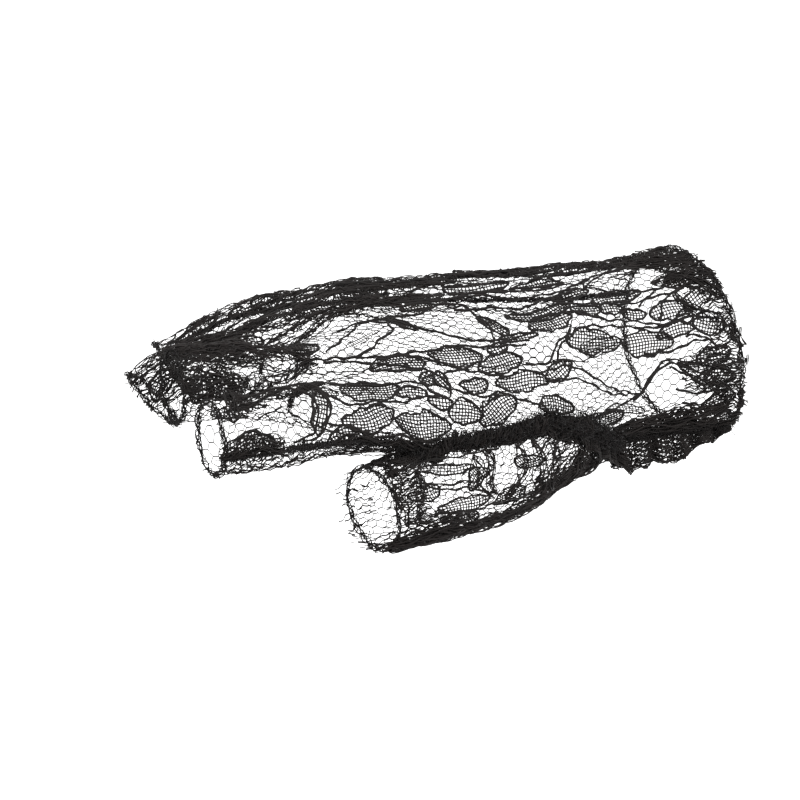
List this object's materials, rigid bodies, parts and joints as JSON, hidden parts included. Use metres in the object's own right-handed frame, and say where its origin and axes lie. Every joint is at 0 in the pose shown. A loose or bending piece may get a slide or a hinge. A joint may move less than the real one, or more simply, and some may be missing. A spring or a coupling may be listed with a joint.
{
  "type": "fingerless lace glove",
  "caption": "Short right-hand lace glove with open fingertips: back and palm panels, a sewn-in thumb tube, overlocked seams and rolled hems, kept in its worn shape",
  "frame": {"origin": "middle of the wrist opening, where the worn glove meets the forearm", "axes": "+X from the fingers towards the forearm, +Z out of the back of the hand, -Y towards the thumb"},
  "size_m": [0.1516, 0.0821, 0.0518],
  "materials": {
    "lace": "matte",
    "hem": "matte",
    "overlock": "matte"
  },
  "bodies": {
    "root": {"back_panel": "lace", "palm_panel": "lace", "thumb_sleeve": "lace", "thumb_seam": "overlock", "index_side_seam": "overlock", "wrist_side_seam": "overlock", "outer_side_seam": "overlock", "index_middle_fork_seam": "overlock", "middle_ring_fork_seam": "overlock", "ring_little_fork_seam": "overlock", "index_hem": "hem", "middle_hem": "hem", "ring_hem": "hem", "little_hem": "hem", "thumb_hem": "hem", "wrist_hem": "hem"}
  },
  "joints": []
}
